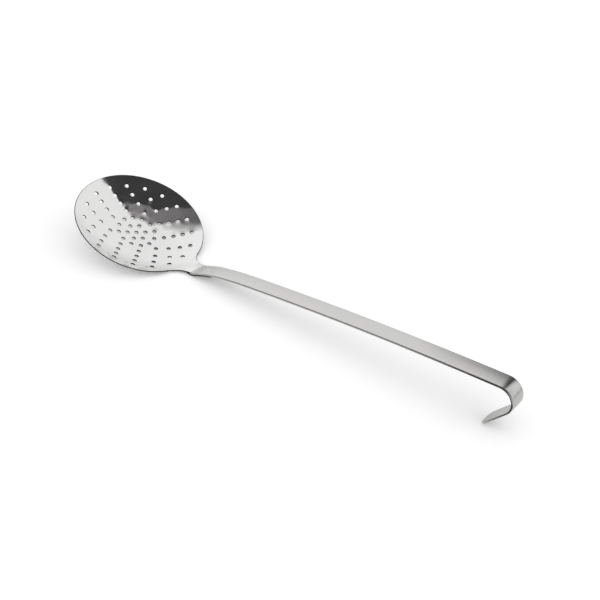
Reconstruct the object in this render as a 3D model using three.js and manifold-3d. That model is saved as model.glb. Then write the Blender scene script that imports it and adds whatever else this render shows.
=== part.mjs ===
// Perforated ladle: a shallow polished dish with rings of round holes, whose joggled tongue is welded under
// a flat satin strap that rises over a gooseneck, arches gently and ends in a hanging hook.
// The ladle is modelled level, with the bowl's axis on Z and the handle towards +X, and is then tipped
// about Y so that it lies on a table, on the bottom of its bowl and the tip of its hook.

import * as THREE from 'three';
import { mergeGeometries, mergeVertices } from 'three/addons/utils/BufferGeometryUtils.js';
import Module from 'manifold-3d';

const wasm = await Module();
wasm.setup();

// Lengths are in millimetres and angles in degrees.

// Bowl: a spherical dish pressed from thin sheet
const BOWL_DIAMETER = 160;
const BOWL_DEPTH = 20;
const BOWL_SHEET = 1.2;

// Perforation: one hole in the middle, then rings a fixed pitch apart along the dish
const HOLE_DIAMETER = 5;
const RING_PITCH = 11.5;
const RING_COUNTS = [1, 6, 12, 9, 12, 15, 18];
const RIM_LAND = 6;

// Tongue: the tab of the bowl's sheet, which steps down to run on under the strap
const TONGUE_WIDTH = 22;
const TONGUE_FILLET = 16;
const TONGUE_RUN = 5.5;
const TONGUE_CORNER = 5;
const JOGGLE_LENGTH = 4;
const LAP_LENGTH = 35;
const LAP_GAP = 0.3;

// Strap: one flat bar, with its edges broken
const STRAP_WIDTH = 23.8;
const STRAP_THICKNESS = 2.5;
const STRAP_EDGE = 0.5;
const STRAP_SETBACK = 4.7;
const STRAP_FRONT_CORNER = 1.5;

// Course of the strap, from the tongue to the hook; a positive turn bends it upwards
const NECK_RADIUS = 16;
const NECK_TURN = 17;
const GOOSENECK_LENGTH = 34;
const GOOSENECK_TURN = -11.7;
const SHOULDER_LENGTH = 45;
const SHOULDER_TURN = -4.8;
const SHANK_LENGTH = 322;
const SHANK_TURN = -3.95;

// Hook: a round bend and a straight leg that comes back under the shank to the table
const HOOK_INNER_RADIUS = 15.25;
const HOOK_TURN = -134.1;
const HOOK_TIP_CORNER = 8;

// Plug welds: weld metal that fills a hole in the tongue and bites into the strap's underside
const WELD_DIAMETER = 5;
const WELD_SPACING = 17;
const WELD_BITE = 1.3;
const WELD_GAP = 0.3;

// Seam weld: fills the groove between the bowl and the strap's front end, flush with both
const SEAM_WIDTH = 20;

// How far the bowl's rim tips towards the handle when the ladle lies on a table
const REST_TILT = 20.9;

// Fineness of the facets
const BOWL_SECTORS = 50;
const BOWL_RINGS = 8;
const NECK_COLUMNS = 8;
const FILLET_ROWS = 5;
const HOLE_SIDES = 12;
const WELD_SIDES = 12;
const COURSE_STEP_ANGLE = 10;
const COURSE_STEP_LENGTH = 24;
const CORNER_STEPS = 5;
const LEAST_STEP = 0.05;
const MERGE_WITHIN = 1e-4;

const radians = THREE.MathUtils.degToRad;
const lerp = THREE.MathUtils.lerp;

// The dish as part of a sphere, whose centre lies above the rim
const bowlRadius = BOWL_DIAMETER / 2;
const sphereRadius = (bowlRadius ** 2 + BOWL_DEPTH ** 2) / (2 * BOWL_DEPTH);
const sphereCentre = new THREE.Vector3(0, 0, sphereRadius - BOWL_DEPTH);
const rimSlope = Math.asin(bowlRadius / sphereRadius);
const rimArc = sphereRadius * rimSlope;

// The fillet between the rim and the tongue's side, as a circle outside the sheet
const tongueHalf = TONGUE_WIDTH / 2;
const filletY = tongueHalf + TONGUE_FILLET;
const filletX = Math.sqrt((bowlRadius + TONGUE_FILLET) ** 2 - filletY ** 2);
const filletAzimuth = Math.atan2(filletY, filletX);
const filletReach = (filletX - bowlRadius) / Math.cos(rimSlope);

// Where the pieces begin and end along the course
const strapStart = filletReach + STRAP_SETBACK;
const tongueEnd = strapStart + LAP_LENGTH;
const weldMiddle = (strapStart + tongueEnd) / 2;
const weldPlaces = [weldMiddle - WELD_SPACING / 2, weldMiddle + WELD_SPACING / 2];

// The course runs along the top of the strap, which carries on the bowl's inner surface; heights are above it
const strapUnder = -STRAP_THICKNESS;
const tongueOver = strapUnder - LAP_GAP;
const tongueUnder = tongueOver - BOWL_SHEET;
const joggleStart = strapStart - JOGGLE_LENGTH;
const course = [
  { length: filletReach + TONGUE_RUN, turn: 0 },
  { length: NECK_RADIUS * radians(NECK_TURN), turn: radians(NECK_TURN) },
  { length: GOOSENECK_LENGTH, turn: radians(GOOSENECK_TURN) },
  { length: SHOULDER_LENGTH, turn: radians(SHOULDER_TURN) },
  { length: SHANK_LENGTH, turn: radians(SHANK_TURN) },
  { length: (HOOK_INNER_RADIUS + STRAP_THICKNESS) * radians(-HOOK_TURN), turn: radians(HOOK_TURN) },
];
course.push({ length: hookLegLength(), turn: 0 });
const courseLength = course.reduce((sum, piece) => sum + piece.length, 0);

// A point of the course, with the normal that points up out of the strap
function courseAt(distance) {
  const point = new THREE.Vector3(bowlRadius, 0, 0);
  let heading = rimSlope;
  let left = distance;
  for (const piece of course) {
    const run = Math.min(left, piece.length);
    const turn = (piece.turn * run) / piece.length;
    const chord = turn === 0 ? run : (2 * run * Math.sin(turn / 2)) / turn;
    point.x += chord * Math.cos(heading + turn / 2);
    point.z += chord * Math.sin(heading + turn / 2);
    heading += turn;
    left -= run;
    if (left <= 0) break;
  }
  const normal = new THREE.Vector3(-Math.sin(heading), 0, Math.cos(heading));
  return { point, normal, heading };
}

// Height of a point of the level ladle once it lies tipped on the table
function restHeight(point) {
  const tilt = radians(REST_TILT);
  return point.z * Math.cos(tilt) - point.x * Math.sin(tilt);
}

// The leg ends where the outer face of its tip meets the table that the bowl lies on
function hookLegLength() {
  const bend = courseAt(course.reduce((sum, piece) => sum + piece.length, 0));
  const table = restHeight(sphereCentre) - sphereRadius - BOWL_SHEET;
  const descent = Math.sin(radians(REST_TILT) - bend.heading);
  return (restHeight(bend.point) - table) / descent;
}

// Height of the tongue's top, which ramps down at the joggle
function tongueTop(station) {
  return tongueOver * THREE.MathUtils.clamp((station - joggleStart) / JOGGLE_LENGTH, 0, 1);
}

// Distances along the course at which a bent sheet gets a new facet, between two ends
function courseStations(from, to) {
  const stations = [from, to];
  let begin = 0;
  for (const { length, turn } of course) {
    const byTurn = Math.ceil(Math.abs(turn) / radians(COURSE_STEP_ANGLE));
    const steps = Math.max(1, byTurn, Math.ceil(length / COURSE_STEP_LENGTH));
    for (let i = 0; i <= steps; i++) stations.push(begin + (length * i) / steps);
    begin += length;
  }
  return tidyStations(stations, from, to);
}

// Sorted distances within two ends, without near repeats
function tidyStations(stations, from, to) {
  const isInside = (s) => s > from + LEAST_STEP && s < to - LEAST_STEP;
  const inside = stations.filter((s) => s === from || s === to || isInside(s));
  inside.sort((a, b) => a - b);
  return inside.filter((s, i) => i === 0 || s - inside[i - 1] > LEAST_STEP);
}

// Half width of a bar with rounded corners, at a distance from its end
function roundedHalf(half, corner, fromEnd) {
  if (fromEnd >= corner) return half;
  return half - corner + Math.sqrt(corner ** 2 - (corner - fromEnd) ** 2);
}

// Distances from a bar's end at which its rounded corner gets a new facet
function cornerSteps(corner) {
  const step = Math.PI / 2 / CORNER_STEPS;
  return Array.from({ length: CORNER_STEPS + 1 }, (_, i) => corner * (1 - Math.cos(step * i)));
}

function geometryFrom(points, triangles) {
  const geometry = new THREE.BufferGeometry();
  geometry.setAttribute('position', new THREE.Float32BufferAttribute(points.flatMap((p) => p.toArray()), 3));
  geometry.setIndex(triangles.flat());
  return geometry;
}

function solidFrom(geometry) {
  const bare = geometry.clone();
  bare.deleteAttribute('normal');
  bare.deleteAttribute('uv');
  const merged = mergeVertices(bare, MERGE_WITHIN);
  return new wasm.Manifold(new wasm.Mesh({
    numProp: 3,
    vertProperties: new Float32Array(merged.attributes.position.array),
    triVerts: new Uint32Array(merged.index.array),
  }));
}

function geometryOf(solid) {
  const { vertProperties, triVerts } = solid.getMesh();
  const geometry = new THREE.BufferGeometry();
  geometry.setAttribute('position', new THREE.Float32BufferAttribute(vertProperties, 3));
  geometry.setIndex(Array.from(triVerts));
  geometry.computeVertexNormals();
  return geometry;
}

// A sheet of even thickness under a surface, walled along every edge that no second triangle shares
function thickSheet(points, normals, triangles, thickness) {
  const count = points.length;
  const under = points.map((p, i) => p.clone().addScaledVector(normals[i], -thickness));
  const edges = new Set(triangles.flatMap(([a, b, c]) => [`${a},${b}`, `${b},${c}`, `${c},${a}`]));
  const walls = [];
  for (const edge of edges) {
    const [a, b] = edge.split(',').map(Number);
    if (!edges.has(`${b},${a}`)) walls.push([b, a, a + count], [b, a + count, b + count]);
  }
  const underside = triangles.map(([a, b, c]) => [c + count, b + count, a + count]);
  return geometryFrom([...points, ...under], [...triangles, ...underside, ...walls]);
}

// The bowl's surface, disc first and then the neck and tongue, as points, normals and triangles
function bowlSurface() {
  const points = [];
  const normals = [];
  const triangles = [];
  const addPoint = (point, normal) => {
    points.push(point);
    normals.push(normal.normalize());
    return points.length - 1;
  };
  const addStrip = (inner, outer, closed) => {
    const last = closed ? inner.length : inner.length - 1;
    for (let i = 0; i < last; i++) {
      const next = (i + 1) % inner.length;
      triangles.push([inner[i], outer[i], outer[next]], [inner[i], outer[next], inner[next]]);
    }
  };

  // Azimuths are close together across the neck, whose columns carry on from the rim
  const across = Array.from({ length: NECK_COLUMNS + 1 }, (_, i) => -1 + (2 * i) / NECK_COLUMNS);
  const rest = 2 * Math.PI - 2 * filletAzimuth;
  const sector = rest / BOWL_SECTORS;
  const around = Array.from({ length: BOWL_SECTORS - 1 }, (_, i) => filletAzimuth + sector * (i + 1));
  const azimuths = [...across.map((f) => f * filletAzimuth), ...around];

  const middle = addPoint(onSphere(0, 0), new THREE.Vector3(0, 0, 1));
  let ring = [];
  for (let j = 1; j <= BOWL_RINGS; j++) {
    const arc = (rimArc * j) / BOWL_RINGS;
    const outer = azimuths.map((azimuth) => {
      const point = onSphere(arc, azimuth);
      return addPoint(point, sphereCentre.clone().sub(point));
    });
    if (j === 1) {
      outer.forEach((index, i) => triangles.push([middle, index, outer[(i + 1) % outer.length]]));
    } else {
      addStrip(ring, outer, true);
    }
    ring = outer;
  }

  // Between the fillets the sheet carries on at the rim's slope, and its rows go from round to straight
  let row = ring.slice(0, across.length);
  for (let k = 1; k <= FILLET_ROWS; k++) {
    const q = k / FILLET_ROWS;
    const swing = lerp(filletAzimuth - Math.PI, -Math.PI / 2, q);
    const edgeX = filletX + TONGUE_FILLET * Math.cos(swing);
    const edgeY = filletY + TONGUE_FILLET * Math.sin(swing);
    const next = across.map((f) => {
      const azimuth = f * filletAzimuth;
      const bulge = bowlRadius * (Math.cos(azimuth) - Math.cos(filletAzimuth));
      const x = edgeX + (1 - q) * bulge;
      const y = edgeY * lerp(Math.sin(azimuth) / Math.sin(filletAzimuth), f, q);
      const z = Math.tan(rimSlope) * (lerp(Math.hypot(x, y), x, q) - bowlRadius);
      const uphill = new THREE.Vector3(lerp(Math.cos(azimuth), 1, q), lerp(Math.sin(azimuth), 0, q), 0);
      const normal = uphill.normalize().multiplyScalar(-Math.sin(rimSlope));
      normal.z = Math.cos(rimSlope);
      return addPoint(new THREE.Vector3(x, y, z), normal);
    });
    addStrip(row, next, false);
    row = next;
  }

  const stations = [
    ...courseStations(filletReach, tongueEnd),
    ...cornerSteps(TONGUE_CORNER).map((d) => tongueEnd - d),
    joggleStart,
    strapStart,
  ];
  for (const station of tidyStations(stations, filletReach, tongueEnd).slice(1)) {
    const half = roundedHalf(tongueHalf, TONGUE_CORNER, tongueEnd - station);
    const { point, normal } = courseAt(station);
    point.addScaledVector(normal, tongueTop(station));
    const next = across.map((f) => addPoint(new THREE.Vector3(point.x, f * half, point.z), normal.clone()));
    addStrip(row, next, false);
    row = next;
  }
  return { points, normals, triangles };
}

// A point of the dish, by its distance from the middle along the dish and its azimuth
function onSphere(arc, azimuth) {
  const polar = arc / sphereRadius;
  const reach = sphereRadius * Math.sin(polar);
  const height = sphereCentre.z - sphereRadius * Math.cos(polar);
  return new THREE.Vector3(reach * Math.cos(azimuth), reach * Math.sin(azimuth), height);
}

// A round pin along a normal, between two heights above a point
function pin(point, normal, diameter, from, to, sides) {
  const geometry = new THREE.CylinderGeometry(diameter / 2, diameter / 2, to - from, sides);
  geometry.translate(0, (from + to) / 2, 0);
  geometry.applyQuaternion(new THREE.Quaternion().setFromUnitVectors(new THREE.Vector3(0, 1, 0), normal));
  geometry.translate(point.x, point.y, point.z);
  return geometry;
}

// Punches for every hole: rings with an odd count have a hole on the handle's line, and so do the first three
function perforation() {
  const clear = BOWL_SHEET;
  const alignedRings = 3;
  const punches = [];
  RING_COUNTS.forEach((count, ring) => {
    const arc = ring * RING_PITCH;
    if (arc + HOLE_DIAMETER / 2 + RIM_LAND > rimArc) return;
    const step = (2 * Math.PI) / count;
    const phase = ring < alignedRings || count % 2 === 1 ? 0 : step / 2;
    for (let i = 0; i < count; i++) {
      const point = onSphere(arc, phase + i * step);
      const normal = sphereCentre.clone().sub(point).normalize();
      punches.push(pin(point, normal, HOLE_DIAMETER, -BOWL_SHEET - clear, clear, HOLE_SIDES));
    }
  });
  return punches;
}

function perforatedBowl() {
  const { points, normals, triangles } = bowlSurface();
  const sheet = solidFrom(thickSheet(points, normals, triangles, BOWL_SHEET));
  const weldHoles = weldPlaces.map((place) => {
    const { point, normal } = courseAt(place);
    const over = tongueOver + BOWL_SHEET;
    return pin(point, normal, WELD_DIAMETER + 2 * WELD_GAP, tongueUnder - BOWL_SHEET, over, WELD_SIDES);
  });
  const punches = solidFrom(mergeGeometries([...perforation(), ...weldHoles]));
  return geometryOf(sheet.subtract(punches));
}

// The strap's closed section at a station, as a rectangle with broken edges
function strapSection(station) {
  const fromFront = station - strapStart;
  const fromTip = courseLength - station;
  const front = roundedHalf(STRAP_WIDTH / 2, STRAP_FRONT_CORNER, fromFront);
  const half = Math.min(front, roundedHalf(STRAP_WIDTH / 2, HOOK_TIP_CORNER, fromTip));
  const flat = half - STRAP_EDGE;
  const { point, normal } = courseAt(station);
  const corners = [
    [-flat, strapUnder],
    [flat, strapUnder],
    [half, strapUnder + STRAP_EDGE],
    [half, -STRAP_EDGE],
    [flat, 0],
    [-flat, 0],
    [-half, -STRAP_EDGE],
    [-half, strapUnder + STRAP_EDGE],
  ];
  return corners.map(([y, height]) => {
    const corner = point.clone().addScaledVector(normal, height);
    corner.y = y;
    return corner;
  });
}

// A closed solid through sections with the same number of corners
function loft(sections) {
  const size = sections[0].length;
  const triangles = [];
  for (let k = 0; k + 1 < sections.length; k++) {
    for (let i = 0; i < size; i++) {
      const a = k * size + i;
      const b = k * size + ((i + 1) % size);
      triangles.push([a, b, b + size], [a, b + size, a + size]);
    }
  }
  const last = (sections.length - 1) * size;
  for (let i = 1; i + 1 < size; i++) {
    triangles.push([0, i + 1, i], [last, last + i, last + i + 1]);
  }
  return geometryFrom(sections.flat(), triangles);
}

function handleStrap() {
  const stations = [
    ...courseStations(strapStart, courseLength),
    ...cornerSteps(STRAP_FRONT_CORNER).map((d) => strapStart + d),
    ...cornerSteps(HOOK_TIP_CORNER).map((d) => courseLength - d),
  ];
  const sections = tidyStations(stations, strapStart, courseLength).map(strapSection);
  const pockets = weldPlaces.map((place) => {
    const { point, normal } = courseAt(place);
    const roof = strapUnder + WELD_BITE + WELD_GAP;
    return pin(point, normal, WELD_DIAMETER + 2 * WELD_GAP, tongueUnder, roof, WELD_SIDES);
  });
  return geometryOf(solidFrom(loft(sections)).subtract(solidFrom(mergeGeometries(pockets))));
}

// A plug of weld metal, flush with the underside of the tongue
function plugWeld(place) {
  const { point, normal } = courseAt(place);
  return pin(point, normal, WELD_DIAMETER, tongueUnder, strapUnder + WELD_BITE, WELD_SIDES);
}

// The seam's three-cornered bar lies a weld gap above the joggle's ramp and before the strap's end
function seamWeld() {
  const ramp = -tongueOver / JOGGLE_LENGTH;
  const lift = WELD_GAP * Math.hypot(1, ramp);
  const begin = joggleStart + lift / ramp;
  const end = strapStart - WELD_GAP;
  const { normal } = courseAt(joggleStart);
  const corners = [
    [begin, 0],
    [end, -ramp * (end - joggleStart) + lift],
    [end, 0],
  ];
  const sections = [SEAM_WIDTH / 2, -SEAM_WIDTH / 2].map((y) => corners.map(([station, height]) => {
    const corner = courseAt(station).point.addScaledVector(normal, height);
    corner.y = y;
    return corner;
  }));
  return loft(sections);
}

function steel(color, roughness) {
  return new THREE.MeshStandardMaterial({ color, roughness, metalness: 1 });
}

function piece(name, geometry, material) {
  const mesh = new THREE.Mesh(geometry, material);
  mesh.name = name;
  return mesh;
}

const level = new THREE.Group();
level.add(piece('perforated_bowl', perforatedBowl(), steel('#dcdddd', 0.1)));
level.add(piece('handle_strap', handleStrap(), steel('#c3c3c1', 0.35)));
level.add(piece('seam_weld', seamWeld(), steel('#cfcfcd', 0.25)));
level.add(piece('plug_weld_front', plugWeld(weldPlaces[0]), steel('#a9a8a6', 0.5)));
level.add(piece('plug_weld_rear', plugWeld(weldPlaces[1]), steel('#a9a8a6', 0.5)));
level.rotation.y = radians(REST_TILT);

// The origin is the middle of the table under the ladle
const ladle = new THREE.Group();
ladle.add(level);
const extent = new THREE.Box3().setFromObject(ladle, true);
const centre = extent.getCenter(new THREE.Vector3());
ladle.position.set(-centre.x, -centre.y, -extent.min.z);

export default ladle;
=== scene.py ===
# Perforated ladle: a polished dish with rings of drain holes, on a long satin strap that ends in a hook.
# Lengths are in metres and angles in degrees. Each piece is shaped level, with the bowl's axis on Z and the
# handle towards +X, and is then tipped about Y into the place that the frame gives it.

import math

import bmesh
import bpy
from mathutils import Matrix, Vector


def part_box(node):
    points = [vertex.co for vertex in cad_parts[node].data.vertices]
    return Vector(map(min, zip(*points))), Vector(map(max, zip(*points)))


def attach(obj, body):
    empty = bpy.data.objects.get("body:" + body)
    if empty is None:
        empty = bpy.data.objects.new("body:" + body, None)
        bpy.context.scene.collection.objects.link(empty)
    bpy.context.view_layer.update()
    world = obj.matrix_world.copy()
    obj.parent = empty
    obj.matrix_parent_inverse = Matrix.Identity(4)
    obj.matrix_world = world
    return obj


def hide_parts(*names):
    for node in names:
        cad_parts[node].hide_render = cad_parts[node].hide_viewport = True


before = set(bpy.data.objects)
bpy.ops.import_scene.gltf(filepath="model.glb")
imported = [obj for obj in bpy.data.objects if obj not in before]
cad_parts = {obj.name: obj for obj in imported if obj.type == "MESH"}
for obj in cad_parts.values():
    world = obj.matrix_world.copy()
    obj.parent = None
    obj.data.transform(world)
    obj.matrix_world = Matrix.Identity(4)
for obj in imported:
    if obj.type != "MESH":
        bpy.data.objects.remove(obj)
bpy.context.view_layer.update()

# Bowl: a spherical dish pressed from thin sheet
BOWL_DIAMETER = 0.160
BOWL_DEPTH = 0.020
BOWL_SHEET = 0.0012
RIM_ROUND = 0.00040

# Perforation: one hole in the middle, then rings a fixed pitch apart along the dish
HOLE_DIAMETER = 0.005
RING_PITCH = 0.0115
RING_COUNTS = (1, 6, 12, 9, 12, 15, 18)
ALIGNED_RINGS = 3
LIP_ROUND = 0.00028
HOLE_TAPER = 0.00025
DIMPLE_REACH = 0.0046
DIMPLE_FADE = 3
DIMPLE_DEPTH = 0.00026
DIMPLE_AT_HOLE = 0.65

# A hole's upper lip, outwards and upwards in shares of its rounding
LIP_PROFILE = ((0.0, -1.0), (0.2, -0.5), (0.65, -0.1), (1.2, 0.2))

# Tongue: the tab of the bowl's sheet, which steps down to run on under the strap
NECK_WIDTH = 0.0238
TONGUE_WIDTH = 0.0234
TONGUE_FILLET = 0.022
TONGUE_CORNER = 0.005
JOGGLE_LENGTH = 0.008
LAP_LENGTH = 0.035
LAP_GAP = 0.0003

# Strap: one flat bar, with its edges broken
STRAP_WIDTH = 0.0238
STRAP_THICKNESS = 0.0025
STRAP_TOP_EDGE = 0.0015
STRAP_UNDER_EDGE = 0.0007
STRAP_START = 0.01844
STRAP_FRONT_CORNER = 0.0003

# Course of the strap, from the tongue to the hook; a positive turn bends it upwards
NECK_STRAIGHT = 0.01924
NECK_RADIUS = 0.016
NECK_TURN = 17
GOOSENECK_LENGTH = 0.034
GOOSENECK_TURN = -11.7
SHOULDER_LENGTH = 0.045
SHOULDER_TURN = -4.8
SHANK_LENGTH = 0.322
SHANK_TURN = -3.95
HOOK_INNER_RADIUS = 0.01525
HOOK_TURN = -134.1
HOOK_TIP_CORNER = 0.008

# Welds
WELD_DIAMETER = 0.005
WELD_SPACING = 0.017
WELD_BITE = 0.0013
WELD_GAP = 0.0003
SEAM_EDGE = 0.0007
SEAM_SET_IN = 0.4

# A plug's low crown, outwards in shares of its radius and upwards in shares of the gap
PLUG_CROWN = ((0.35, -0.2), (0.75, 0.0), (1.0, 0.8))

# How far the ladle tips down towards its hook when it lies on a table
REST_TILT = 20.9

# Fineness of the meshes
DISH_RINGS = 84
NECK_STEPS = 24
ROUND_STEPS = 232
FILLET_ROWS = 14
HOLE_SIDES = 40
TONGUE_STEP = 0.0012
CORNER_STEPS = 8
BEND_STEP = 2.0
RUN_STEP = 0.012
EDGE_STEPS = 5
TIP_STEPS = 10
SEAM_STEPS = 4

# Angles past which an edge is sharp, or stays unsmoothed, and normals that tell a wall from a face
SHARP_ANGLE = 60
SMOOTH_ANGLE = 35
PLUG_SMOOTH_ANGLE = 40
LEVEL_NORMAL = 0.95
SIDEWAYS_NORMAL = 0.9

# Lengths below which two places are the same
SAME_PLACE = 1e-6
SAME_END = 1e-5

# The plane that is merged to a piece's first point, and the bevel profile that is an arc
SEED_SIZE = 0.001
ARC = 0.5

tilt = math.radians(REST_TILT)
bowl_radius = BOWL_DIAMETER / 2
sphere_radius = (bowl_radius**2 + BOWL_DEPTH**2) / (2 * BOWL_DEPTH)
sphere_centre = Vector((0, 0, sphere_radius - BOWL_DEPTH))
rim_slope = math.asin(bowl_radius / sphere_radius)
neck_half = NECK_WIDTH / 2
fillet_y = neck_half + TONGUE_FILLET
fillet_x = math.sqrt((bowl_radius + TONGUE_FILLET) ** 2 - fillet_y**2)
fillet_azimuth = math.atan2(fillet_y, fillet_x)
fillet_reach = (fillet_x - bowl_radius) / math.cos(rim_slope)

joggle_start = STRAP_START - JOGGLE_LENGTH
tongue_end = STRAP_START + LAP_LENGTH
weld_middle = (STRAP_START + tongue_end) / 2
weld_places = (weld_middle - WELD_SPACING / 2, weld_middle + WELD_SPACING / 2)
tongue_over = -STRAP_THICKNESS - LAP_GAP
tongue_under = tongue_over - BOWL_SHEET

course = [
    (NECK_STRAIGHT, 0.0),
    (NECK_RADIUS * math.radians(NECK_TURN), math.radians(NECK_TURN)),
    (GOOSENECK_LENGTH, math.radians(GOOSENECK_TURN)),
    (SHOULDER_LENGTH, math.radians(SHOULDER_TURN)),
    (SHANK_LENGTH, math.radians(SHANK_TURN)),
    ((HOOK_INNER_RADIUS + STRAP_THICKNESS) * math.radians(-HOOK_TURN), math.radians(HOOK_TURN)),
]


def course_at(distance):
    """A point of the strap's top line, with the normal out of its top and the heading there."""
    x, z, heading, left = bowl_radius, 0.0, rim_slope, distance
    for length, turn in course:
        run = min(left, length)
        part = turn * run / length
        chord = 2 * run * math.sin(part / 2) / part if part else run
        x += chord * math.cos(heading + part / 2)
        z += chord * math.sin(heading + part / 2)
        heading += part
        left -= run
        if left <= 0:
            break
    return Vector((x, 0, z)), Vector((-math.sin(heading), 0, math.cos(heading))), heading


def rest_height(point):
    """The height of a point of the level ladle once it is tipped, before it is set on the table."""
    return point.z * math.cos(tilt) - point.x * math.sin(tilt)


def hook_leg_length():
    """The leg ends where the outer face of its tip meets the table that the bowl lies on."""
    point, _, heading = course_at(sum(length for length, _ in course))
    table = rest_height(sphere_centre) - sphere_radius - BOWL_SHEET
    return (rest_height(point) - table) / math.sin(tilt - heading)


course.append((hook_leg_length(), 0.0))
course_length = sum(length for length, _ in course)

# The level ladle's origin, the middle of the bowl's rim, in the frame
level_to_rest = Matrix.Rotation(tilt, 4, "Y")
bowl_low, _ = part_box("perforated_bowl")
rim_reach = bowl_radius * math.cos(tilt) + BOWL_SHEET * math.sin(rim_slope + tilt)
rim_height = sphere_radius + BOWL_SHEET - sphere_centre.z * math.cos(tilt)
level_to_rest.translation = Vector((bowl_low.x + rim_reach, 0, rim_height))


def only(piece):
    """Select this piece alone, in object mode."""
    if bpy.context.object and bpy.context.object.mode != "OBJECT":
        bpy.ops.object.mode_set(mode="OBJECT")
    bpy.ops.object.select_all(action="DESELECT")
    piece.select_set(True)
    bpy.context.view_layer.objects.active = piece


def edit(piece, kind="VERT"):
    """Open this piece for editing, with nothing selected."""
    only(piece)
    bpy.ops.object.mode_set(mode="EDIT")
    bpy.ops.mesh.select_mode(type=kind)
    bpy.ops.mesh.select_all(action="DESELECT")


def done():
    """Close the piece that is open for editing."""
    bpy.ops.object.mode_set(mode="OBJECT")


def pick(piece, kind, test):
    """Select the points, edges or faces of the open piece that pass a test of place."""
    mesh = bmesh.from_edit_mesh(piece.data)
    for item in getattr(mesh, kind):
        item.select_set(test(item))
    mesh.select_flush_mode()
    bmesh.update_edit_mesh(piece.data)


def single_point(name, place):
    """A new piece that is one selected point, open for editing."""
    bpy.ops.object.select_all(action="DESELECT")
    bpy.ops.mesh.primitive_plane_add(size=SEED_SIZE, location=(0, 0, 0))
    piece = bpy.context.object
    piece.name = name
    piece.data.name = name
    edit(piece)
    bpy.ops.mesh.select_all(action="SELECT")
    bpy.ops.mesh.merge(type="CENTER")
    bpy.ops.mesh.select_all(action="SELECT")
    bpy.ops.transform.translate(value=place)
    return piece


def spin(steps, angle, centre, axis):
    """Spin the selection right-handed about an axis; the operator itself turns the other way."""
    bpy.ops.mesh.spin(steps=steps, angle=-angle, center=centre, axis=axis)


def add_modifier(piece, kind, **settings):
    """Add a modifier with these settings and apply it."""
    only(piece)
    modifier = piece.modifiers.new(kind.lower(), kind)
    for key, value in settings.items():
        setattr(modifier, key, value)
    bpy.ops.object.modifier_apply(modifier=modifier.name)


def smooth(piece, angle=SMOOTH_ANGLE):
    """Shade the piece smooth, apart from its edges past this angle."""
    only(piece)
    bpy.ops.object.shade_smooth_by_angle(angle=math.radians(angle))


def face_up(sheet):
    """Turn the open sheet's faces so that the greater part of them looks up."""
    if sum(face.area * face.normal.z for face in sheet.data.polygons) < 0:
        edit(sheet, "FACE")
        bpy.ops.mesh.select_all(action="SELECT")
        bpy.ops.mesh.flip_normals()
        done()


def wear(piece, *materials):
    """Give the piece these finishes, one to a slot."""
    piece.data.materials.clear()
    for material in materials:
        piece.data.materials.append(material)


def lay_down(piece):
    """Tip the level piece into its place in the frame, and put that place in its mesh."""
    only(piece)
    piece.matrix_world = level_to_rest @ piece.matrix_world
    bpy.ops.object.transform_apply(location=True, rotation=True, scale=True)


def hand_over(piece, node):
    """The finished piece stands for a CAD node: it hangs from the root body, and the node's own part is
    hidden.
    """
    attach(piece, "root")
    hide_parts(node)


# Bowl


def on_dish(arc, azimuth):
    """The place on the dish's inner face this far along it from its middle."""
    polar = arc / sphere_radius
    reach = sphere_radius * math.sin(polar)
    return Vector((reach * math.cos(azimuth), reach * math.sin(azimuth),
                   sphere_centre.z - sphere_radius * math.cos(polar)))


def hole_places():
    """The middle of every drain hole, on the dish's inner face."""
    places = []
    for ring, count in enumerate(RING_COUNTS):
        step = 2 * math.pi / count
        phase = 0.0 if ring < ALIGNED_RINGS or count % 2 else step / 2
        places += [on_dish(ring * RING_PITCH, phase + i * step) for i in range(count)]
    return places


def joggle(station):
    """How far the tongue has stepped down at a station of the course."""
    step = min(max((station - joggle_start) / JOGGLE_LENGTH, 0.0), 1.0)
    return tongue_over * step * step * (3 - 2 * step)


def neck_row(share, columns):
    """Places across the sheet between the fillets, from the round rim at 0 to the straight tongue at 1."""
    swing = (fillet_azimuth - math.pi) * (1 - share) - math.pi / 2 * share
    edge_x = fillet_x + TONGUE_FILLET * math.cos(swing)
    edge_y = fillet_y + TONGUE_FILLET * math.sin(swing)
    row = []
    for i in range(columns):
        across = -1 + 2 * i / (columns - 1)
        azimuth = across * fillet_azimuth
        bulge = bowl_radius * (math.cos(azimuth) - math.cos(fillet_azimuth))
        x = edge_x + (1 - share) * bulge
        even = math.sin(azimuth) / math.sin(fillet_azimuth)
        y = edge_y * (even * (1 - share) + across * share)
        reach = math.hypot(x, y) * (1 - share) + x * share
        place = Vector((x, y, math.tan(rim_slope) * (reach - bowl_radius)))
        row.append(place + course_at(0)[1] * joggle((x - bowl_radius) / math.cos(rim_slope)))
    return row


def tongue_row(station, columns):
    """Places across the tongue at a station of the course, narrower towards its rounded end."""
    from_end = tongue_end - station
    taper = min((station - fillet_reach) / JOGGLE_LENGTH, 1.0)
    half = neck_half + (TONGUE_WIDTH / 2 - neck_half) * taper
    if from_end < TONGUE_CORNER:
        half += math.sqrt(TONGUE_CORNER**2 - (TONGUE_CORNER - from_end) ** 2) - TONGUE_CORNER
    point, normal, _ = course_at(station)
    point = point + normal * joggle(station)
    return [Vector((point.x, half * (-1 + 2 * i / (columns - 1)), point.z)) for i in range(columns)]


def tongue_stations():
    """Distances along the course at which the tongue gets a new row."""
    straight_end = tongue_end - TONGUE_CORNER
    rows = int((tongue_end - fillet_reach) / TONGUE_STEP)
    stations = [fillet_reach + TONGUE_STEP * (i + 1) for i in range(rows)]
    stations = [s for s in stations if s < straight_end]
    corner = [TONGUE_CORNER * math.cos(math.pi / 2 * i / CORNER_STEPS) for i in range(CORNER_STEPS + 1)]
    return stations + [straight_end + (TONGUE_CORNER - c) for c in corner]


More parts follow.
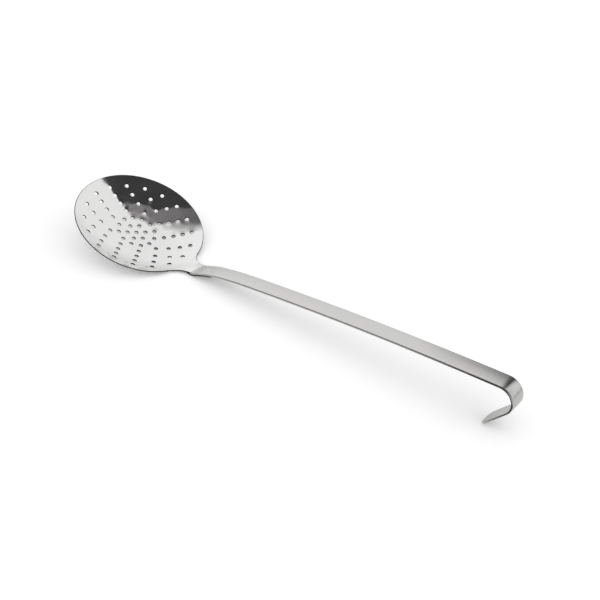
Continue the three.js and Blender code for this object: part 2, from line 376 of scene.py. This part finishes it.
def extrude_row(sheet, places):
    """Extrude the selected row of edges and put the new row's points in these places, in order of Y."""
    bpy.ops.mesh.extrude_edges_move()
    mesh = bmesh.from_edit_mesh(sheet.data)
    row = sorted((v for v in mesh.verts if v.select), key=lambda v: v.co.y)
    for point, place in zip(row, places):
        point.co = place
    bmesh.update_edit_mesh(sheet.data)


def dish_sheet():
    """The bowl's inner face: an arc spun into a dish, with the neck and tongue extruded from its rim."""
    sheet = single_point("perforated_bowl_sheet", (0, 0, -BOWL_DEPTH))
    spin(DISH_RINGS, rim_slope, sphere_centre, (0, -1, 0))
    bpy.ops.mesh.select_all(action="SELECT")
    bpy.ops.transform.rotate(value=fillet_azimuth, orient_axis="Z", center_override=(0, 0, 0))
    spin(NECK_STEPS, 2 * fillet_azimuth, (0, 0, 0), (0, 0, 1))
    spin(ROUND_STEPS, 2 * math.pi - 2 * fillet_azimuth, (0, 0, 0), (0, 0, 1))
    bpy.ops.mesh.select_all(action="SELECT")
    bpy.ops.mesh.remove_doubles(threshold=SAME_PLACE)
    bpy.ops.mesh.select_mode(type="EDGE")

    def on_neck(edge):
        middle = (edge.verts[0].co + edge.verts[1].co) / 2
        return edge.is_boundary and abs(math.atan2(middle.y, middle.x)) < fillet_azimuth

    pick(sheet, "edges", on_neck)
    columns = NECK_STEPS + 1
    for k in range(1, FILLET_ROWS + 1):
        extrude_row(sheet, neck_row(k / FILLET_ROWS, columns))
    for station in tongue_stations():
        extrude_row(sheet, tongue_row(station, columns))
    bpy.ops.mesh.select_all(action="SELECT")
    bpy.ops.mesh.normals_make_consistent(inside=False)
    done()
    face_up(sheet)
    return sheet


def dimple(sheet):
    """Punching draws the sheet in a little round each hole."""
    places = hole_places()
    group = sheet.vertex_groups.new(name="round_the_holes")
    for vertex in sheet.data.vertices:
        near = ((vertex.co - place).length / DIMPLE_REACH for place in places)
        share = sum(math.exp(-d * d) for d in near if d < DIMPLE_FADE)
        if share > 0:
            group.add([vertex.index], share, "REPLACE")
    add_modifier(sheet, "DISPLACE", vertex_group=group.name, strength=-DIMPLE_DEPTH, mid_level=0.0)
    sheet.vertex_groups.clear()


def lathe_row(radius, height, last):
    """Extrude the selected ring of a round tool up to its next radius and height."""
    bpy.ops.mesh.extrude_region_move(TRANSFORM_OT_translate={"value": (0, 0, height - last[1])})
    grow = radius / last[0]
    bpy.ops.transform.resize(value=(grow, grow, 1), center_override=(0, 0, height))
    return radius, height


def round_tool(name, profile, sides):
    """A closed round tool on Z through these radii and heights, from its bottom up."""
    bpy.ops.object.select_all(action="DESELECT")
    bpy.ops.mesh.primitive_circle_add(vertices=sides, radius=profile[0][0], fill_type="NGON")
    tool = bpy.context.object
    tool.name = name
    edit(tool, "FACE")
    bpy.ops.mesh.select_all(action="SELECT")
    bpy.ops.transform.translate(value=(0, 0, profile[0][1]))
    last = profile[0]
    for radius, height in profile[1:]:
        last = lathe_row(radius, height, last)
    bpy.ops.mesh.select_all(action="SELECT")
    bpy.ops.mesh.normals_make_consistent(inside=False)
    done()
    return tool


def stand_on(normal, place):
    """The matrix that stands a tool on a surface, with its own Z along the normal."""
    turn = Vector((0, 0, 1)).rotation_difference(normal).to_matrix().to_4x4()
    return Matrix.Translation(place) @ turn


def copies(tool, stands):
    """One piece of this tool's copies, one at each stand."""
    made = []
    for stand in stands:
        only(tool)
        bpy.ops.object.duplicate()
        made.append(bpy.context.object)
        made[-1].matrix_world = stand
    bpy.ops.object.select_all(action="DESELECT")
    for copy in made:
        copy.select_set(True)
    bpy.context.view_layer.objects.active = made[0]
    bpy.ops.object.join()
    joined = bpy.context.object
    bpy.ops.object.transform_apply(location=True, rotation=True, scale=True)
    bpy.data.objects.remove(tool)
    return joined


def hole_punches():
    """Tools for the drain holes, flared at both ends so that they leave rounded lips."""
    r, lip, under, top = HOLE_DIAMETER / 2, LIP_ROUND, -BOWL_SHEET, -DIMPLE_AT_HOLE * DIMPLE_DEPTH
    profile = [(r, 2 * under), (r, under - 0.5 * lip), (r - HOLE_TAPER, under + 0.5 * lip)]
    profile += [(r + out * lip, top + up * lip) for out, up in LIP_PROFILE]
    profile.append((profile[-1][0], -under))
    punch = round_tool("hole_punch", profile, HOLE_SIDES)
    # The hole walls take the sheared finish, whose near-black colour is painted shade
    wear(punch, polished, sheared_with_painted_shade)
    for face in punch.data.polygons:
        face.material_index = int(abs(face.normal.z) < LEVEL_NORMAL)
    stands = [stand_on((sphere_centre - p).normalized(), p) for p in hole_places()]
    return copies(punch, stands)


def weld_stand(place):
    """The matrix that stands a tool on the strap's top line at this distance along it."""
    point, normal, _ = course_at(place)
    return stand_on(normal, point)


def weld_drills():
    """Tools for the two holes in the tongue that the plug welds fill."""
    r = WELD_DIAMETER / 2 + WELD_GAP
    profile = [(r, tongue_under - BOWL_SHEET), (r, tongue_over + 0.5 * LAP_GAP)]
    return copies(round_tool("weld_drill", profile, HOLE_SIDES), [weld_stand(place) for place in weld_places])


def cut(piece, tool):
    """Cut the tool out of the piece, with the tool's own finish on the cut."""
    add_modifier(piece, "BOOLEAN", operation="DIFFERENCE", solver="EXACT", material_mode="TRANSFER",
                 object=tool)
    bpy.data.objects.remove(tool)


def round_outline(piece, radius, slot=-1, chosen=None):
    """Round the sharp edges of a sheet, or those of them that are chosen."""
    edit(piece, "EDGE")
    bpy.ops.mesh.edges_select_sharp(sharpness=math.radians(SHARP_ANGLE))
    if chosen:
        mesh = bmesh.from_edit_mesh(piece.data)
        for item in [e for e in mesh.edges if e.select and not chosen(e)]:
            item.select_set(False)
        bmesh.update_edit_mesh(piece.data)
    bpy.ops.mesh.bevel(offset=radius, offset_type="OFFSET", segments=EDGE_STEPS, profile=ARC, material=slot,
                       affect="EDGES", clamp_overlap=False)
    done()


def make_bowl():
    """The polished dish with its tongue, its cut edge and hole walls left as sheared metal, painted near
    black as shade.
    """
    bowl = dish_sheet()
    wear(bowl, polished, sheared_with_painted_shade)
    dimple(bowl)
    # The sheet's cut edge and its rounding take the sheared finish, whose near-black colour is painted shade
    add_modifier(bowl, "SOLIDIFY", thickness=BOWL_SHEET, offset=-1, use_even_offset=True,
                 material_offset_rim=1)
    round_outline(bowl, RIM_ROUND, slot=1)
    cut(bowl, hole_punches())
    cut(bowl, weld_drills())
    smooth(bowl)
    lay_down(bowl)
    bowl.name = "bowl"
    hand_over(bowl, "perforated_bowl")


# Strap


def strap_line():
    """The strap's top line, from its front end along every bend of the course to the hook's tip."""
    start, _, _ = course_at(STRAP_START)
    line = single_point("handle_strap_line", start)
    begin = 0.0
    for length, turn in course:
        first = max(begin, STRAP_START)
        run = begin + length - first
        begin += length
        if run <= 0:
            continue
        point, normal, heading = course_at(first)
        if turn:
            part = turn * run / length
            steps = max(2, math.ceil(abs(math.degrees(part)) / BEND_STEP), math.ceil(run / RUN_STEP))
            spin(steps, part, point + normal * (length / turn), (0, -1, 0))
        else:
            along = Vector((math.cos(heading), 0, math.sin(heading))) * run
            bpy.ops.mesh.extrude_region_move(TRANSFORM_OT_translate={"value": along})
    return line


def lay_grain(strap):
    """A UV map in metres, along the strap and across it, for its brushed grain."""
    mesh = strap.data
    layer = mesh.uv_layers.new(name="grain")
    neighbours = {}
    for edge in mesh.edges:
        a, b = edge.vertices
        if abs(mesh.vertices[a].co.y - mesh.vertices[b].co.y) < SAME_PLACE:
            neighbours.setdefault(a, []).append(b)
            neighbours.setdefault(b, []).append(a)
    start, _, _ = course_at(STRAP_START)
    distance = {}
    for side in (-1, 1):
        corner = Vector((start.x, side * STRAP_WIDTH / 2, start.z))
        here = min(neighbours, key=lambda i: (mesh.vertices[i].co - corner).length)
        distance[here] = STRAP_START
        while True:
            ahead = [i for i in neighbours[here] if i not in distance]
            if not ahead:
                break
            step = (mesh.vertices[ahead[0]].co - mesh.vertices[here].co).length
            distance[ahead[0]] = distance[here] + step
            here = ahead[0]
    for loop in mesh.loops:
        index = loop.vertex_index
        layer.data[loop.index].uv = (distance[index], mesh.vertices[index].co.y)


def round_corners(strap, place, radius):
    """Round the two corners of the flat ribbon at one of its ends."""
    edit(strap)
    pick(strap, "verts", lambda v: math.hypot(v.co.x - place.x, v.co.z - place.z) < SAME_END)
    bpy.ops.mesh.bevel(offset=radius, offset_type="OFFSET", segments=TIP_STEPS, profile=ARC,
                       affect="VERTICES", clamp_overlap=False)
    done()


def make_strap():
    """The satin bar: its top line made a ribbon, thickened and rounded along its edges."""
    strap = strap_line()
    bpy.ops.mesh.select_all(action="SELECT")
    bpy.ops.transform.translate(value=(0, -STRAP_WIDTH / 2, 0))
    bpy.ops.mesh.extrude_edges_move(TRANSFORM_OT_translate={"value": (0, STRAP_WIDTH, 0)})
    bpy.ops.mesh.select_all(action="SELECT")
    bpy.ops.mesh.normals_make_consistent(inside=False)
    done()
    face_up(strap)
    lay_grain(strap)
    round_corners(strap, course_at(course_length)[0], HOOK_TIP_CORNER)
    round_corners(strap, course_at(STRAP_START)[0], STRAP_FRONT_CORNER)
    over = len(strap.data.vertices)
    add_modifier(strap, "SOLIDIFY", thickness=STRAP_THICKNESS, offset=-1, use_even_offset=True)
    behind_front = course_at(STRAP_START + STRAP_THICKNESS)[0].x

    def past_front(edge):
        return max(v.co.x for v in edge.verts) > behind_front

    round_outline(strap, STRAP_UNDER_EDGE,
                  chosen=lambda e: min(v.index for v in e.verts) >= over and past_front(e))
    round_outline(strap, STRAP_TOP_EDGE,
                  chosen=lambda e: max(v.index for v in e.verts) < over and past_front(e))
    wear(strap, satin)
    smooth(strap)
    lay_down(strap)
    strap.name = "strap"
    hand_over(strap, "handle_strap")


# Welds


def make_plug(node, place):
    """A plug of weld metal, ground to a low crown under the tongue."""
    r = WELD_DIAMETER / 2
    profile = [(out * r, tongue_under + up * WELD_GAP) for out, up in PLUG_CROWN]
    profile.append((r, -STRAP_THICKNESS + WELD_BITE))
    plug = copies(round_tool("plug", profile, HOLE_SIDES), [weld_stand(place)])
    wear(plug, weld)
    smooth(plug, PLUG_SMOOTH_ANGLE)
    lay_down(plug)
    plug.name = node.replace("plug_weld", "plug")
    hand_over(plug, node)


def make_seam():
    """The bar of weld metal before the strap's front end, polished flush on top, with painted shade on its
    two sides.
    """
    front, normal, heading = course_at(joggle_start)
    along = Vector((math.cos(heading), 0, math.sin(heading)))
    set_in = SEAM_SET_IN * WELD_GAP
    seam = single_point("seam", front + along * set_in)
    run = along * (JOGGLE_LENGTH - set_in)
    drop = normal * (tongue_over + WELD_GAP)
    bpy.ops.mesh.extrude_region_move(TRANSFORM_OT_translate={"value": run})
    bpy.ops.mesh.extrude_region_move(TRANSFORM_OT_translate={"value": drop})
    bpy.ops.mesh.select_all(action="SELECT")
    bpy.ops.mesh.edge_face_add()
    bpy.ops.transform.translate(value=(0, -neck_half, 0))
    bpy.ops.mesh.extrude_region_move(TRANSFORM_OT_translate={"value": (0, NECK_WIDTH, 0)})
    bpy.ops.mesh.select_all(action="SELECT")
    bpy.ops.mesh.normals_make_consistent(inside=False)
    bpy.ops.mesh.select_mode(type="EDGE")
    pick(seam, "edges", lambda e: all((v.co - front).dot(normal) > -SAME_PLACE for v in e.verts)
         and abs(e.verts[0].co.y - e.verts[1].co.y) < SAME_PLACE)
    bpy.ops.mesh.bevel(offset=SEAM_EDGE, offset_type="OFFSET", segments=SEAM_STEPS, profile=ARC,
                       affect="EDGES")
    done()
    # The seam's two sides take the sheared finish: painted shade under the neck
    wear(seam, polished, sheared_with_painted_shade)
    for face in seam.data.polygons:
        face.material_index = int(abs(face.normal.y) > SIDEWAYS_NORMAL)
    smooth(seam)
    lay_down(seam)
    hand_over(seam, "seam_weld")


# Finishes

# Colour sockets of a Mix node
MIX_FIRST, MIX_SECOND, MIX_RESULT = 6, 7, 2

# A pair of tones runs from dark to light, and a pair of roughnesses from smooth to dull. Marks are counted
# per metre, on the satin bar along it and across it. A bump has a strength and a depth in metres.
NOISE_MIDDLE = (0.35, 0.65)
NOISE_BROAD = (0.3, 0.7)
POLISH_TONES = ((0.78, 0.78, 0.775), (0.83, 0.83, 0.825))
POLISH_ROUGHNESS = (0.055, 0.105)
POLISH_HAZE, POLISH_WAVES = 38.0, 70.0
POLISH_BUMP = (0.05, 0.002)
SATIN_TONES = ((0.60, 0.595, 0.585), (0.72, 0.715, 0.705))
SATIN_ROUGHNESS = (0.21, 0.27)
SATIN_LINES, SATIN_BANDS = (9.0, 2600.0, 1.0), (4.0, 420.0, 1.0)
SATIN_BUMP = (0.12, 0.0004)
SATIN_PULL, QUARTER_TURN = 0.8, 0.25
# The sheared tones are dull cut metal painted near black, as shade in the holes and along the cut edges
SHEARED_TONES_PAINTED_SHADE = ((0.018, 0.0175, 0.017), (0.05, 0.048, 0.046))
SHEARED_ROUGHNESS = 0.4
SHEARED_TEARS = 1500.0
WELD_TONES = ((0.56, 0.55, 0.53), (0.70, 0.69, 0.67))
WELD_ROUGHNESS = (0.25, 0.45)
WELD_MARKS = 900.0
WELD_BUMP = (0.2, 0.0003)


class Net:
    """Short ways to add and join the nodes of one shader tree."""

    def __init__(self, tree):
        self.nodes, self.links = tree.nodes, tree.links
        self.nodes.clear()

    def add(self, kind, links=None, **settings):
        """Add a node with these settings and plain inputs, and link these sources to its sockets."""
        node = self.nodes.new(kind)
        for key, value in settings.items():
            if hasattr(node, key):
                setattr(node, key, value)
            else:
                node.inputs[key.replace("_", " ")].default_value = value
        for socket, source in (links or {}).items():
            self.links.new(source, node.inputs[socket])
        return node

    def span(self, source, low, high, to_low, to_high):
        """Carry a value from one range over to another."""
        node = self.add("ShaderNodeMapRange", {"Value": source})
        for key, value in zip(("From Min", "From Max", "To Min", "To Max"), (low, high, to_low, to_high)):
            node.inputs[key].default_value = value
        return node.outputs["Result"]

    def noise(self, place, scale, detail):
        """A cloudy pattern, from 0 to 1."""
        node = self.add("ShaderNodeTexNoise", {"Vector": place}, Scale=scale, Detail=detail)
        return node.outputs["Fac"]

    def maths(self, operation, first, second):
        """Combine two values; the second one may be a plain number."""
        node = self.add("ShaderNodeMath", {0: first}, operation=operation)
        if isinstance(second, (int, float)):
            node.inputs[1].default_value = second
        else:
            self.links.new(second, node.inputs[1])
        return node.outputs["Value"]

    def along(self, vector, axis):
        """How far a vector goes along an axis."""
        node = self.add("ShaderNodeVectorMath", {0: vector}, operation="DOT_PRODUCT")
        node.inputs[1].default_value = axis
        return node.outputs["Value"]

    def mixed(self, factor, first, second):
        """Mix two colours, each one a socket or a plain colour."""
        node = self.add("ShaderNodeMix", data_type="RGBA")
        self.links.new(factor, node.inputs["Factor"])
        for socket, colour in ((MIX_FIRST, first), (MIX_SECOND, second)):
            if isinstance(colour, tuple):
                node.inputs[socket].default_value = colour
            else:
                self.links.new(colour, node.inputs[socket])
        return node.outputs[MIX_RESULT]

    def blend(self, factor, first, second):
        """Mix two plain colours by a factor."""
        return self.mixed(factor, (*first, 1), (*second, 1))

    def either(self, factor, first, second):
        """Mix two shaders by a factor."""
        shaders = {1: first.outputs[0], 2: second.outputs[0]}
        return self.add("ShaderNodeMixShader", {0: factor, **shaders})


class Finish(Net):
    """A node material on one metal shader; its plain colour and roughness serve where nodes aren't read."""

    def __init__(self, name, colour, roughness):
        self.material = bpy.data.materials.new(name)
        self.material.use_nodes = True
        super().__init__(self.material.node_tree)
        self.shader = self.add("ShaderNodeBsdfPrincipled", Metallic=1.0, Roughness=roughness)
        self.shader.inputs["Base Color"].default_value = (*colour, 1)
        self.add("ShaderNodeOutputMaterial", {"Surface": self.shader.outputs["BSDF"]})

    def plug(self, socket, source):
        """Link a source to the shader."""
        self.links.new(source, self.shader.inputs[socket])

    def raise_marks(self, height, strength, depth):
        """Let a pattern stand up from the surface a little."""
        bump = self.add("ShaderNodeBump", {"Height": height}, Strength=strength, Distance=depth)
        self.plug("Normal", bump.outputs["Normal"])


def polished_steel():
    """Mirror polished sheet, with faint wiping marks and the polisher's haze."""
    finish = Finish("polished_steel", (0.80, 0.80, 0.79), 0.08)
    place = finish.add("ShaderNodeTexCoord").outputs["Object"]
    haze = finish.noise(place, POLISH_HAZE, detail=4.0)
    finish.plug("Roughness", finish.span(haze, *NOISE_MIDDLE, *POLISH_ROUGHNESS))
    finish.plug("Base Color", finish.blend(haze, *POLISH_TONES))
    finish.raise_marks(finish.noise(place, POLISH_WAVES, detail=1.0), *POLISH_BUMP)
    return finish.material


def satin_steel():
    """Satin bar, brushed along its length."""
    finish = Finish("satin_steel", (0.66, 0.655, 0.64), 0.32)
    grain = finish.add("ShaderNodeUVMap", uv_map="grain").outputs["UV"]
    fine = finish.add("ShaderNodeMapping", {"Vector": grain}, Scale=SATIN_LINES).outputs["Vector"]
    lines = finish.noise(fine, 1.0, detail=3.0)
    broad = finish.add("ShaderNodeMapping", {"Vector": grain}, Scale=SATIN_BANDS).outputs["Vector"]
    bands = finish.noise(broad, 1.0, detail=2.0)
    finish.plug("Roughness", finish.span(bands, *NOISE_BROAD, *SATIN_ROUGHNESS))
    finish.plug("Base Color", finish.blend(lines, *SATIN_TONES))
    finish.raise_marks(lines, *SATIN_BUMP)
    finish.shader.inputs["Anisotropic"].default_value = SATIN_PULL
    finish.shader.inputs["Anisotropic Rotation"].default_value = QUARTER_TURN
    tangent = finish.add("ShaderNodeTangent", direction_type="UV_MAP", uv_map="grain")
    finish.plug("Tangent", tangent.outputs["Tangent"])
    return finish.material


def sheared_steel_with_painted_shade():
    """The dull metal that a punch or a shear leaves, in the holes and along the sheet's cut edge; its
    near-black colour is painted shade.
    """
    finish = Finish("sheared_steel_with_painted_shade", (0.03, 0.029, 0.028), SHEARED_ROUGHNESS)
    place = finish.add("ShaderNodeTexCoord").outputs["Object"]
    tears = finish.noise(place, SHEARED_TEARS, detail=3.0)
    finish.plug("Base Color", finish.blend(tears, *SHEARED_TONES_PAINTED_SHADE))
    return finish.material


def weld_metal():
    """Weld metal, ground back by hand."""
    finish = Finish("weld_metal", (0.6, 0.59, 0.57), 0.35)
    place = finish.add("ShaderNodeTexCoord").outputs["Object"]
    marks = finish.noise(place, WELD_MARKS, detail=4.0)
    finish.plug("Roughness", finish.span(marks, *NOISE_BROAD, *WELD_ROUGHNESS))
    finish.plug("Base Color", finish.blend(marks, *WELD_TONES))
    finish.raise_marks(marks, *WELD_BUMP)
    return finish.material


polished, satin, sheared_with_painted_shade, weld = polished_steel(), satin_steel(), sheared_steel_with_painted_shade(), weld_metal()
make_bowl()
make_strap()
make_seam()
for node, place in zip(("plug_weld_front", "plug_weld_rear"), weld_places):
    make_plug(node, place)

# Studio: a white table under an even dome of light, and what the polished metal mirrors

FLOOR_SIZE = 3.6
FLOOR_DROP = 0.0003
FLOOR_TONE = 0.9
FLOOR_SHOWN = 1.06
FLOOR_MIRRORED = 0.75

# The dome is a little brighter on the camera's side
DOME_LIGHT = 1.0
DOME_SLANT = 0.4
CAMERA_SIDE = Vector((0.65, -0.76, 0.0))
CAMERA_RIGHT = Vector((0.76, 0.65, 0.0))

# The mirrored surround is laid out on a level ceiling: lean is how far towards the camera a direction meets
# it, and side how far to the camera's right. A pair is where a change begins and where it is complete.
LOWEST_SLOPE = 0.05
WHITE_LEFT, WHITE_RIGHT, WHITE_FAR = 1.04, 0.94, 0.84
WHITE_TURN = (-0.5, 0.1)
WHITE_NEARER = (-3.2, -2.0)

BROWN_LEFT, BROWN_RIGHT, BROWN_BLOTCH = (0.155, 0.148, 0.15), (0.26, 0.245, 0.25), (0.10, 0.095, 0.097)
BROWN_TURN = (-0.3, 0.3)
BLOTCH_SCALE, BLOTCH_SHARE = 9.0, 0.45
BLOTCH_EDGE = (0.35, 0.65)
WALL_SKEW = 0.12
WALL_EDGE = (-0.46, -0.28)
WALL_END = (0.5, 0.70)

ROOM_DARK, ROOM_BACK = (0.0445, 0.0445, 0.046), (0.60, 0.60, 0.60)
ROOM_SKEW = 0.08
ROOM_BEND_AT, ROOM_BEND = 0.40, 0.5
ROOM_EDGE = (-0.045, -0.025)
ROOM_LEFT_SKEW = 0.31
ROOM_LEFT_EDGE = (-0.435, -0.415)
ROOM_BACK_EDGE = (1.1, 2.2)
HORIZON_TONE = 0.05
HORIZON_EDGE = (0.03, 0.05)

# A dark stand behind the hook, whose top edge rises to the right: a painted dark reflection that only the
# metal sees
STAND_PLACE = (0.2, 0.225, 0.25)
STAND_SIZE = 0.5
STAND_TONE = 0.02
STAND_TOP = (0.195, 0.245)
STAND_RISE_AT, STAND_RISE = 0.17, 1.7
STAND_LEFT = (0.05, 0.20)
STAND_RIGHT = (0.330, 0.350)

# A dark sheet before the hook, on the table and turned up at its outer edge: painted shade, seen only in the
# metal, for the strap's near side
SHEET_PLACE = (0.15, -0.167, 0.0005)
SHEET_SIZE = (0.44, 0.286, 1.0)
SHEET_OUTER = -0.3
SHEET_TURN_UP = 0.3
SHEET_TONE = 0.03
SHEET_SKEW = Vector((1.0, -0.45, 0.0))
SHEET_EDGE = (0.155, 0.275)

# The photograph's angle
CAMERA_PLACE = Vector((0.53714, -0.76186, 0.65516))
CAMERA_AHEAD = Vector((-0.46086, 0.68706, -0.56175))
CAMERA_ROLL = 5.849
CAMERA_LENS = 60
CAMERA_SENSOR = 36


def grey(tone):
    """A plain grey as a shader colour."""
    return (tone, tone, tone, 1)


def stage_plane(name, **settings):
    """A new plane of the stage, selected alone."""
    bpy.ops.object.select_all(action="DESELECT")
    bpy.ops.mesh.primitive_plane_add(**settings)
    plane = bpy.context.object
    plane.name = name
    return plane


def stage_net(plane, name):
    """The empty node tree of a plane's new material."""
    material = bpy.data.materials.new(name)
    material.use_nodes = True
    plane.data.materials.append(material)
    return Net(material.node_tree)


def lay_floor():
    """White paper, which keeps the ladle's shadow."""
    floor = stage_plane("floor", size=FLOOR_SIZE, location=(0, 0, -FLOOR_DROP))
    net = stage_net(floor, "white_paper")
    ray = net.add("ShaderNodeLightPath")
    tone = net.mixed(ray.outputs["Is Glossy Ray"], grey(FLOOR_TONE), grey(FLOOR_MIRRORED))
    tone = net.mixed(ray.outputs["Is Camera Ray"], tone, grey(FLOOR_SHOWN))
    matt = net.add("ShaderNodeBsdfDiffuse", {"Color": tone})
    net.add("ShaderNodeOutputMaterial", {"Surface": matt.outputs["BSDF"]})


def mirrored_surround(net, towards):
    """White ahead of the camera, a brown wall higher up, and a dark room over and behind it."""
    height = net.add("ShaderNodeSeparateXYZ", {"Vector": towards}).outputs["Z"]
    slope = net.maths("MAXIMUM", height, LOWEST_SLOPE)
    lean = net.maths("DIVIDE", net.along(towards, CAMERA_SIDE), slope)
    side = net.maths("DIVIDE", net.along(towards, CAMERA_RIGHT), slope)

    white = net.mixed(net.span(side, *WHITE_TURN, 0, 1), grey(WHITE_LEFT), grey(WHITE_RIGHT))
    white = net.mixed(net.span(lean, *WHITE_NEARER, 1, 0), white, grey(WHITE_FAR))

    brown = net.blend(net.span(side, *BROWN_TURN, 0, 1), BROWN_LEFT, BROWN_RIGHT)
    blotch = net.span(net.noise(towards, BLOTCH_SCALE, detail=2.0), *BLOTCH_EDGE, 0, BLOTCH_SHARE)
    brown = net.mixed(blotch, brown, (*BROWN_BLOTCH, 1))
    wall_line = net.maths("SUBTRACT", lean, net.maths("MULTIPLY", side, WALL_SKEW))
    wall = net.maths("MULTIPLY", net.span(wall_line, *WALL_EDGE, 0, 1), net.span(side, *WALL_END, 1, 0))

    past_bend = net.maths("MAXIMUM", net.maths("SUBTRACT", side, ROOM_BEND_AT), 0.0)
    room_line = net.maths("ADD", lean, net.maths("MULTIPLY", side, ROOM_SKEW))
    room_line = net.maths("ADD", room_line, net.maths("MULTIPLY", past_bend, ROOM_BEND))
    left_line = net.maths("SUBTRACT", lean, net.maths("MULTIPLY", side, ROOM_LEFT_SKEW))
    room = net.span(room_line, *ROOM_EDGE, 0, 1)
    room = net.maths("MULTIPLY", room, net.span(left_line, *ROOM_LEFT_EDGE, 0, 1))
    dark = net.blend(net.span(lean, *ROOM_BACK_EDGE, 0, 1), ROOM_DARK, ROOM_BACK)

    seen = net.mixed(room, net.mixed(wall, white, brown), dark)
    return net.mixed(net.span(height, *HORIZON_EDGE, 1, 0), seen, grey(HORIZON_TONE))


def light_studio():
    """The dome that lights the ladle, white to the camera and with the surround for the metal to mirror."""
    world = bpy.data.worlds.new("studio")
    bpy.context.scene.world = world
    world.use_nodes = True
    net = Net(world.node_tree)
    ray = net.add("ShaderNodeLightPath")
    towards = net.add("ShaderNodeTexCoord").outputs["Generated"]
    mirrored = net.add("ShaderNodeBackground", {"Color": mirrored_surround(net, towards)})
    level = net.maths("ADD", net.along(towards, CAMERA_SIDE * DOME_SLANT), DOME_LIGHT)
    dome = net.add("ShaderNodeBackground", {"Strength": level}, Color=grey(1))
    shown = net.add("ShaderNodeBackground", Color=grey(1))
    sky = net.either(ray.outputs["Is Glossy Ray"], dome, mirrored)
    sky = net.either(ray.outputs["Is Camera Ray"], sky, shown)
    net.add("ShaderNodeOutputWorld", {"Surface": sky.outputs[0]})


def show_in_metal(plane, name, tone, cover):
    """Make a stage plane dark where it covers, and let only reflections see it."""
    plane.visible_camera = plane.visible_diffuse = plane.visible_shadow = False
    net = stage_net(plane, name)
    place = net.add("ShaderNodeNewGeometry").outputs["Position"]
    clear = net.add("ShaderNodeBsdfTransparent")
    face = net.add("ShaderNodeEmission", Color=grey(tone))
    shown = net.either(cover(net, place), clear, face)
    net.add("ShaderNodeOutputMaterial", {"Surface": shown.outputs[0]})


def stand_cover(net, place):
    """How dark the stand is at a place."""
    axes = net.add("ShaderNodeSeparateXYZ", {"Vector": place}).outputs
    reach, height = axes["X"], axes["Z"]
    past = net.maths("MAXIMUM", net.maths("SUBTRACT", reach, STAND_RISE_AT), 0.0)
    top = net.maths("SUBTRACT", height, net.maths("MULTIPLY", past, STAND_RISE))
    cover = net.maths("MULTIPLY", net.span(top, *STAND_TOP, 1, 0), net.span(reach, *STAND_LEFT, 0, 1))
    return net.maths("MULTIPLY", cover, net.span(reach, *STAND_RIGHT, 1, 0))


def sheet_cover(net, place):
    """How dark the sheet is at a place."""
    return net.span(net.along(place, SHEET_SKEW), *SHEET_EDGE, 0, 1)


def place_stand():
    """The stand that makes the dark band on the hook's bend, a painted reflection seen only in the metal."""
    stand = stage_plane("dark_stand", size=1.0, location=STAND_PLACE, rotation=(math.pi / 2, 0, 0))
    stand.scale = (STAND_SIZE, STAND_SIZE, 1.0)
    show_in_metal(stand, "painted_dark_reflection_stand", STAND_TONE, stand_cover)


def place_sheet():
    """The sheet that darkens the strap's near side towards the hook: painted shade that only its reflection
    shows.
    """
    sheet = stage_plane("dark_sheet", size=1.0, location=SHEET_PLACE)
    sheet.scale = SHEET_SIZE
    bpy.ops.object.transform_apply(location=True, rotation=True, scale=True)
    edit(sheet, "EDGE")
    pick(sheet, "edges", lambda e: max(v.co.y for v in e.verts) < SHEET_OUTER)
    bpy.ops.mesh.extrude_region_move(TRANSFORM_OT_translate={"value": (0, 0, SHEET_TURN_UP)})
    done()
    show_in_metal(sheet, "painted_shade_reflection_sheet", SHEET_TONE, sheet_cover)


def set_camera():
    """A camera at the photograph's place and angle, rolled a little about its own line of sight."""
    ahead = CAMERA_AHEAD.normalized()
    level = ahead.cross(Vector((0, 0, 1))).normalized()
    steep = level.cross(ahead)
    roll = math.radians(CAMERA_ROLL)
    right = level * math.cos(roll) + steep * math.sin(roll)
    upward = steep * math.cos(roll) - level * math.sin(roll)
    camera_data = bpy.data.cameras.new("camera")
    camera_data.sensor_width = CAMERA_SENSOR
    camera_data.lens = CAMERA_LENS
    camera = bpy.data.objects.new("camera", camera_data)
    bpy.context.scene.collection.objects.link(camera)
    turn = Matrix((right, upward, -ahead)).transposed()
    camera.matrix_world = Matrix.Translation(CAMERA_PLACE) @ turn.to_4x4()
    bpy.context.scene.camera = camera


bpy.context.scene.view_settings.view_transform = "Standard"
lay_floor()
light_studio()
place_stand()
place_sheet()
set_camera()
